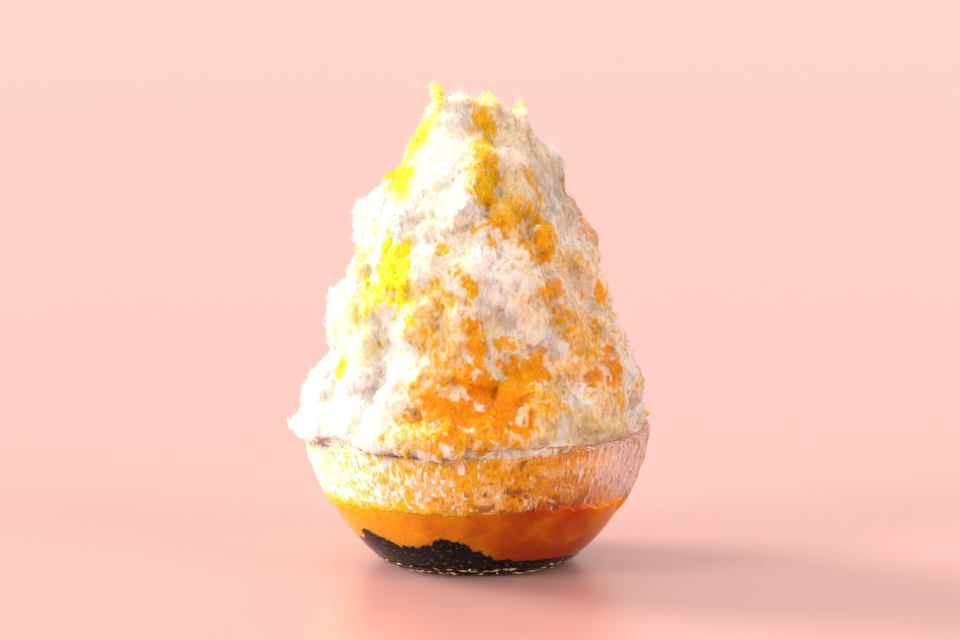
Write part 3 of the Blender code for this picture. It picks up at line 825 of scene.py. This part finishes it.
def sheet_faces():
    """Triangles of one thin sheet: its top grid, its bottom grid and the edge between them."""
    top = np.arange(SHEET_LONG * SHEET_WIDE).reshape(SHEET_LONG, SHEET_WIDE)
    under = top.size
    faces = []
    for row in range(SHEET_LONG - 1):
        for column in range(SHEET_WIDE - 1):
            a, b = top[row, column], top[row + 1, column]
            c, d = top[row + 1, column + 1], top[row, column + 1]
            faces += [(a, b, c), (a, c, d)]
            faces += [(a + under, c + under, b + under), (a + under, d + under, c + under)]
    loop = [*top[:, 0], *top[-1, 1:], *top[-2::-1, -1], *top[0, -2:0:-1]]
    for near, far in zip(loop, loop[1:] + loop[:1]):
        faces += [(near + under, far + under, far), (near + under, far, near)]
    return np.array(faces)


def sheet_mesh(name, centres, along, normals, lengths, widths, looks, draw):
    """Shavings: thin sheets, curled a little, with uneven ends."""
    count = len(centres)
    side = unit(np.cross(normals, along))
    out = np.cross(along, side)
    long, wide = np.meshgrid(np.linspace(-1, 1, SHEET_LONG), np.linspace(-1, 1, SHEET_WIDE), indexing="ij")
    at_end = (np.abs(long) > 0.9)[None]
    long = long[None] * (1.0 + 0.25 * draw.normal(size=(count, SHEET_LONG, SHEET_WIDE)) * at_end)
    wide = wide[None] * (1.0 + 0.20 * draw.normal(size=(count, SHEET_LONG, 1)))
    half_long = 0.5 * lengths[:, None, None]
    half_wide = 0.5 * widths[:, None, None]
    curl = draw.uniform(-0.30, 0.16, (count, 1, 1)) * long**2 * half_long
    curl = curl + draw.uniform(-0.35, 0.12, (count, 1, 1)) * wide**2 * half_wide
    middle = centres[:, None, None] + along[:, None, None] * (long * half_long)[..., None]
    middle = middle + side[:, None, None] * (wide * half_wide)[..., None]
    middle = middle + out[:, None, None] * curl[..., None]
    middle = middle.reshape(count, -1, 3)
    thickness = out[:, None] * draw.uniform(0.00005, 0.00010, (count, 1, 1))
    places = np.concatenate([middle + thickness, middle - thickness], axis=1)
    faces = (sheet_faces()[None] + np.arange(count)[:, None, None] * places.shape[1]).reshape(-1, 3)
    return joined_mesh(name, places.reshape(-1, 3), faces, np.repeat(looks, places.shape[1], axis=0))


def clear_of_glass(places):
    """True where a place is above the rim, or outside the bowl."""
    radius = np.hypot(places[:, 0], places[:, 1])
    outer = outer_wall(np.clip(places[:, 2], 0.0, BOWL_HEIGHT))
    return (places[:, 2] > BOWL_HEIGHT + RIM_CLEARANCE) | (radius > outer + SIDE_CLEARANCE)


def clumping(size, offset, least):
    """A chance that comes in clumps, for scattering."""
    return lambda places: least + (1 - least) * eased(0.5 + 1.4 * clouds(places, size, 2, offset))


def within_box(tips):
    """True where the tips stay close to the box that the solids fill."""
    low_enough = (tips < np.array(cad_high) + STAND_PROUD).all(axis=1)
    return low_enough & (tips > np.array(cad_low) - STAND_PROUD).all(axis=1)


def crown_only(places):
    """A chance that is nothing below the crown and whole on it, for scattering."""
    return eased((places[:, 2] - CROWN_Z) / 0.012)


def scattered(maker, name, heap, pours, seed, count, each, chance, lengths, widths, swing, spread, lift, fan):
    """Scatters tufts of needles or sheets over the heap, each tuft coloured by the syrup where it grows."""
    draw = np.random.default_rng(seed)
    roots, facing = sample_skin(heap.data, count, chance, draw)
    along = fibre_ways(roots, facing, draw, swing, spread)
    along = unit(along + facing * (lift * (draw.random(count) ** 2 - 0.08))[:, None])
    across = np.cross(facing, along)
    strength, warmth = syrup_at(roots, pours)
    tuft = np.repeat(np.arange(count), each)
    total = len(tuft)
    aside = draw.normal(size=(total, 1)) * (each > 1)
    long = lengths[0] + (lengths[1] - lengths[0]) * draw.random(total) ** 1.6
    wide = draw.uniform(*widths, total)
    centres = roots[tuft] + across[tuft] * aside * TUFT_SPREAD
    centres += facing[tuft] * draw.uniform(*ROOT_DEPTHS, (total, 1))
    centres += along[tuft] * (draw.normal(size=total) * 0.25 * long * (each > 1))[:, None]
    ways = unit(along[tuft] + across[tuft] * (fan * aside + 0.10 * draw.normal(size=(total, 1))))
    reach = ways * 0.5 * long[:, None]
    kept = clear_of_glass(centres) & within_box(centres + reach) & within_box(centres - reach)
    amount = strength[tuft] * draw.uniform(0.75, 1.1, total) * (draw.random(total) > BARE_SHARE)
    # Painted shade: tufts and needles are dimmed at random, in place of the shadows they don't cast
    painted_shade = 0.5 * draw.random(count)[tuft] ** 2 + 0.5 * draw.random(total) ** 2
    looks = np.column_stack([syrup_colours(warmth)[tuft], amount, painted_shade])
    spin = unit(facing[tuft] + 0.5 * draw.normal(size=(total, 3)))
    return maker(name, centres[kept], ways[kept], spin[kept], long[kept], wide[kept], looks[kept], draw)


def stray_needles(heap, pours):
    """The single needles and thin tips that stand out from the heap."""
    draw = np.random.default_rng(STRAY_SEED)
    _, right, up = camera_axes()
    rows = []
    for pixel_x, pixel_y, length, lean, width in STRAYS:
        place = nearest_seen(pixel_x, pixel_y, heap)
        way = up * math.cos(math.radians(lean)) + right * math.sin(math.radians(lean))
        if place is not None:
            rows.append((*(place + way * length * 0.0003), *way, length / 1000, width / 1000))
    rows = np.array(rows)
    centres, along = rows[:, :3], rows[:, 3:6]
    facing = np.tile((0.0, -1.0, 0.0), (len(rows), 1))
    strength, warmth = syrup_at(centres, pours)
    # The single needles take half the painted shade
    looks = np.column_stack([syrup_colours(warmth), strength, np.full(len(rows), 0.5)])
    return needle_mesh("stray_needles", centres, along, facing, rows[:, 6], rows[:, 7], looks, draw)


def dress(piece, finish):
    """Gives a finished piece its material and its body."""
    piece.data.materials.clear()
    piece.data.materials.append(finish)
    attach(piece, "root")
    return piece


def bowl_profile():
    """(radius, height) round the wall, from the foot up the outside, over the rim and down inside."""
    heights = [0.0011]
    while heights[-1] < BOWL_HEIGHT - 1.5 * BAND_STEP:
        step = FOOT_STEP if heights[-1] < FOOT_TOP_Z else PLAIN_STEP
        heights.append(heights[-1] + (BAND_STEP if heights[-1] > BAND_LOW_Z - 0.002 else step))
    heights.append(BOWL_HEIGHT)
    outside = [(0.014, 0.0), (0.026, 0.0), (FOOT_R, 0.0), (FOOT_R + 0.0006, 0.0004)]
    outside += [(float(outer_wall(height)), height) for height in heights]
    inner_top = float(inner_wall(BOWL_HEIGHT))
    middle = 0.5 * (outside[-1][0] + inner_top)
    half = 0.5 * (outside[-1][0] - inner_top)
    rim = []
    for degrees in (30, 60, 90, 120, 150):
        turn = math.radians(degrees)
        rim.append((middle + half * math.cos(turn), BOWL_HEIGHT + RIM_ROUNDING * math.sin(turn)))
    inside = []
    height = BOWL_HEIGHT
    while height > FLOOR_WALL_Z:
        inside.append((float(inner_wall(height)), height))
        height -= PLAIN_STEP
    low_radius = inside[-1][0]
    inside += [(low_radius * 0.975, INNER_FLOOR_Z + 0.0003), (low_radius * 0.93, INNER_FLOOR_Z),
               (low_radius * 0.45, INNER_FLOOR_Z)]
    return outside + rim + inside


def run_relief(angle, height, draw):
    """Raised height of the glass where it ran down in ribs while it was soft."""
    relief = np.zeros(len(angle))
    around = 2 * math.pi
    for _ in range(RUNS):
        middle = draw.uniform(0, around)
        top = draw.uniform(BAND_LOW_Z + 0.005, BAND_HIGH_Z + 0.003)
        length = draw.uniform(*RUN_LENGTHS)
        bottom = max(BAND_LOW_Z - draw.uniform(0.0, 0.0020), top - length)
        half_width = 0.5 * draw.uniform(*RUN_WIDTHS) / SIDE_GIRTH
        drift = draw.uniform(-0.12, 0.12) / SIDE_GIRTH
        aside = (angle - middle - drift * (height - bottom) + math.pi) % around - math.pi
        near = (np.abs(aside) < 2.2 * half_width) & (height > bottom - 0.002) & (height < top + 0.002)
        if not near.any():
            continue
        level = (height[near] - bottom) / max(top - bottom, 1e-4)
        widening = 1.25 - 0.45 * np.clip(level, 0, 1)
        across = np.clip(1.0 - (aside[near] / (half_width * widening)) ** 2, 0.0, 1.0)
        ends = eased((height[near] - bottom + 0.0008) / 0.0016) * eased((top + 0.001 - height[near]) / 0.004)
        raised = draw.uniform(*RUN_HEIGHTS) * np.sqrt(across) * ends
        relief[near] = np.maximum(relief[near], raised)
    return relief


def bead_relief(angle, height):
    """Raised height of two broken beads of glass low on the wall, just over the table."""
    relief = np.zeros(len(angle))
    for index, middle in enumerate(BEAD_HEIGHTS):
        ring = np.stack([np.cos(angle), np.sin(angle), np.full(len(angle), 3.0 * index)], axis=1)
        present = eased(0.6 + 3.5 * clouds(ring * FOOT_R, BEAD_LENGTH, 1, 11.0))
        wander = 0.0004 * clouds(ring, 0.09, 2, 5.0)
        bead = np.clip(1.0 - ((height - middle - wander) / 0.0007) ** 2, 0.0, 1.0)
        relief = np.maximum(relief, BEAD_RISE * present * np.sqrt(bead))
    return relief


def glass_bowl():
    """The bowl: turned, with runs of glass down its upper half, a wavy rim and broken beads at the foot."""
    bowl = turned("clear_bowl", bowl_profile(), BOWL_SEGMENTS)
    places = places_of(bowl.data)
    radius = np.hypot(places[:, 0], places[:, 1])
    angle = np.arctan2(places[:, 1], places[:, 0])
    height = places[:, 2].copy()
    outside = (radius > outer_wall(np.clip(height, 0.0, BOWL_HEIGHT)) - 0.0007) & (height > 0.0003)
    turn = angle[outside]
    level = height[outside]
    ring = np.stack([np.cos(turn), np.sin(turn), level / SIDE_GIRTH], axis=1) * SIDE_GIRTH
    in_band = eased((level - BAND_LOW_Z) / 0.004)
    streaks = RUN_STREAKS * clouds(ring, 0.0011, 2, 2.0, (1.0, 1.0, 8.0))
    lumps = RUN_LUMPS * in_band * eased(1.8 * clouds(ring, 0.0014, 1, 27.0, (1.0, 1.0, 2.4)))
    relief = run_relief(turn, level, random.Random(RUN_SEED)) + streaks + lumps + bead_relief(turn, level)
    share = (radius[outside] + relief) / radius[outside]
    places[outside, :2] *= share[:, None]
    ring = np.stack([np.cos(angle), np.sin(angle), np.zeros(len(angle))], axis=1) * SIDE_GIRTH
    wave = 0.0005 * clouds(ring, 0.020, 3, 6.0) + 0.0007 * clouds(ring, 0.0028, 2, 16.0)
    places[:, 2] += wave * eased((height - 0.045) / 0.004)
    move_to(bowl.data, places)
    smooth(bowl, 50.0)
    return bowl


def broken_beads(name, seed, count, heights, outward, tilt, widths):
    """Broken beads round the bowl, half sunk in the glass."""
    draw = np.random.default_rng(seed)
    turn = np.arange(count) * 2 * math.pi / count + draw.normal(size=count) * 0.02
    height = draw.choice(heights, count) + draw.normal(size=count) * 0.0003
    away = np.stack([np.cos(turn), np.sin(turn), np.full(count, tilt)], axis=1)
    centres = np.stack([np.cos(turn), np.sin(turn), height], axis=1)
    centres[:, :2] *= (outer_wall(height) + outward)[:, None]
    along = np.stack([-np.sin(turn), np.cos(turn), 0.12 * draw.normal(size=count)], axis=1)
    looks = np.zeros((count, 5))
    return needle_mesh(name, centres, unit(along), unit(away), draw.uniform(0.0016, 0.0042, count),
                       draw.uniform(*widths, count), looks, draw)


def filling(name, node, voxel, grain, depth, ragged, into_wall, seed):
    """A layer in the bowl that reaches just into the glass, with a ragged, finely uneven top."""
    layer = copy_of_node(name, node)
    even_skin(layer, voxel)
    places = places_of(layer.data)
    normals = normals_of(layer.data)
    radius = np.hypot(places[:, 0], places[:, 1])
    wall = inner_wall(np.clip(places[:, 2], INNER_FLOOR_Z + 0.0005, BOWL_HEIGHT))
    by_wall = radius > wall - LAYER_NEAR_WALL
    by_floor = places[:, 2] < INNER_FLOOR_Z + 0.0008
    columns = places * (1.0, 1.0, 0.0)
    off_floor = eased((places[:, 2] - INNER_FLOOR_Z - 0.001) / 0.003)
    places[:, 2] += ragged * eased(0.5 + 1.3 * clouds(columns, grain, 3, seed + 5.0)) * off_floor
    wall = inner_wall(np.clip(places[:, 2], INNER_FLOOR_Z + 0.0005, BOWL_HEIGHT))
    free = ~by_wall & ~by_floor
    lift = depth * clouds(places, grain, 3, seed)
    places[free] += normals[free] * lift[free][:, None]
    share = np.where(by_wall, (wall + into_wall) / np.maximum(radius, 1e-6), 1.0)
    places[:, :2] *= share[:, None]
    places[by_floor, 2] = INNER_FLOOR_Z - 0.0003
    move_to(layer.data, places)
    smooth(layer)
    return layer


def sauce_layer():
    """The sauce, with painted light and shade: bright on the left, darker and redder to the right and low
    down, and painted light on its right edge.
    """
    layer = filling("fruit_sauce_layer", "fruit_sauce", voxel=0.0008, grain=0.004, depth=0.0004,
                    ragged=0.0015, into_wall=SAUCE_INTO_WALL, seed=3.0)
    places = places_of(layer.data)
    # Painted light and shade: depth below is the share of painted shade, more to the right and low down, and
    # the lit edge paints light back on the right end
    low_down = eased((0.016 - places[:, 2]) / 0.012)
    depth = eased(0.5 + places[:, 0] / 0.08 + 0.3 * clouds(places, 0.012, 3, 8.0) + 0.25 * low_down)
    painted_lit_edge = 0.6 * eased((places[:, 0] - 0.034) / 0.014) * (1.0 - low_down)
    depth = (depth * (1.0 - painted_lit_edge))[:, None]
    paint(layer.data, SAUCE_LIT_LEFT * (1 - depth) + SAUCE_SHADED_RIGHT * depth)
    return layer


def studio():
    """A plain pale floor, a strong soft window light from behind on the left, and weaker light all round."""
    bpy.ops.object.select_all(action="DESELECT")
    bpy.ops.mesh.primitive_plane_add(size=FLOOR_SIZE, location=(0.0, 0.0, -FLOOR_DROP))
    floor = bpy.context.object
    floor.name = "floor"
    bpy.ops.object.transform_apply(location=True)
    made, _, shader = shader_of("pale floor")
    shader.inputs["Base Color"].default_value = (0.68, 0.38, 0.35, 1.0)
    shader.inputs["Roughness"].default_value = 0.3
    floor.data.materials.append(made)
    world = bpy.data.worlds.new("studio")
    bpy.context.scene.world = world
    world.use_nodes = True
    tree = world.node_tree
    sky = tree.nodes["Background"]
    sky.inputs["Color"].default_value = (1.0, 0.83, 0.77, 1.0)
    way = tree.nodes.new("ShaderNodeTexCoord")
    parts = tree.nodes.new("ShaderNodeSeparateXYZ")
    tree.links.new(way.outputs["Object"], parts.inputs["Vector"])
    tree.links.new(ranged(tree, parts.outputs["Y"], -0.9, 0.6, 0.35, 1.0), sky.inputs["Strength"])
    lamp("window", (-2.0, 0.9, 1.1), 26.0, 3.4, (1.0, 0.98, 0.95))
    lamp("left fill", (-1.8, -1.0, 0.9), 20.0, 1.5, (1.0, 0.98, 0.96))
    lamp("right fill", (2.0, -1.2, 1.2), 30.0, 1.2, (1.0, 0.88, 0.76))


def lamp(name, direction, spread, strength, colour):
    """Soft light from far away, which lights the whole floor alike."""
    light = bpy.data.lights.new(name, "SUN")
    light.angle = math.radians(spread)
    light.energy = strength
    light.color = colour
    holder = bpy.data.objects.new(name, light)
    holder.rotation_euler = Vector(direction).to_track_quat("Z", "Y").to_euler()
    bpy.context.scene.collection.objects.link(holder)


def photographer():
    """The camera at the photograph's angle."""
    lens = bpy.data.cameras.new("photograph")
    lens.sensor_width = SENSOR_WIDTH
    lens.lens = CAMERA_LENS
    lens.clip_start = 0.05
    lens.clip_end = 50.0
    camera = bpy.data.objects.new("photograph", lens)
    ahead, right, up = camera_axes()
    turn = Matrix((right, up, -ahead)).transposed()
    camera.matrix_world = Matrix.Translation(CAMERA_PLACE) @ turn.to_4x4()
    bpy.context.scene.collection.objects.link(camera)
    bpy.context.scene.camera = camera


photographer()
studio()
bpy.context.scene.view_settings.view_transform = "Standard"

heap = ice_heap()
pours = pours_on(heap, random.Random(BACK_SEED))
strength, warmth = syrup_at(places_of(heap.data), pours)
paint(heap.data, syrup_colours(warmth), strength)
smooth(heap)
dress(heap, packed_ice())
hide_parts("shaved_ice")

loose = loose_ice()
kept_share = 1.0
fibres = [
    scattered(needle_mesh, "ice_needles", heap, pours, seed=1, count=int(NEEDLES * kept_share), each=1,
              chance=clumping(0.008, 4.0, 0.3), lengths=(0.0014, 0.0042), widths=(0.00014, 0.00026),
              swing=3.0, spread=0.9, lift=0.6, fan=0.0),
]
for name, seed, offset in (("ice_tufts_first", 2, 2.0), ("ice_tufts_second", 3, 3.0)):
    tufts = scattered(needle_mesh, name, heap, pours, seed=seed, count=int(TUFTS * kept_share), each=10,
                      chance=clumping(0.008, offset, 0.25), lengths=(0.0020, 0.0056),
                      widths=(0.00014, 0.00028), swing=2.0, spread=0.5, lift=0.4, fan=0.18)
    fibres.append(tufts)
fibres += [
    scattered(needle_mesh, "crown_fibres", heap, pours, seed=4, count=int(CROWN_TUFTS * kept_share), each=12,
              chance=crown_only, lengths=(0.0030, 0.0085), widths=(0.00016, 0.00030),
              swing=0.5, spread=0.12, lift=0.03, fan=0.05),
    scattered(sheet_mesh, "ice_shavings", heap, pours, seed=5, count=int(SHAVINGS * kept_share), each=1,
              chance=clumping(0.010, 8.0, 0.3), lengths=(0.0022, 0.0065), widths=(0.0010, 0.0032),
              swing=1.2, spread=0.4, lift=0.25, fan=0.0),
    stray_needles(heap, pours),
]
for piece in fibres:
    dress(piece, loose)
    piece.visible_shadow = False

soaked = dress(soaked_ice(), soaked_slush())
smooth(soaked)
sauce = dress(sauce_layer(), orange_sauce())
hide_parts("fruit_sauce")
foot_beads = broken_beads("foot_beads", seed=31, count=FOOT_BEADS, heights=BEAD_HEIGHTS, outward=0.0001,
                          tilt=-0.4, widths=(0.0005, 0.0009))
# The foot beads are painted gold as glints of the sauce's light
dress(foot_beads, glint_painted_glass("painted gold glints", (0.55, 0.20, 0.02, 1.0), (1.0, 0.72, 0.30, 1.0)))
rim_beads = broken_beads("rim_beads", seed=37, count=RIM_BEADS, heights=RIM_BEAD_HEIGHTS, outward=-0.0003,
                         tilt=0.6, widths=(0.0006, 0.0011))
# The rim beads are painted cream-white as a highlight along the rim
dress(rim_beads, glint_painted_glass("rim painted highlights", (0.60, 0.44, 0.32, 1.0), (1.0, 0.97, 0.93, 1.0)))
rim_beads.visible_shadow = False
paste = filling("bean_paste_layer", "bean_paste", voxel=0.0006, grain=0.0026, depth=0.0006, ragged=0.0020,
                into_wall=PASTE_INTO_WALL, seed=7.0)
dress(paste, dark_paste())
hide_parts("bean_paste")
bowl = dress(glass_bowl(), clear_glass())
bowl.visible_shadow = False
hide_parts("glass_bowl")
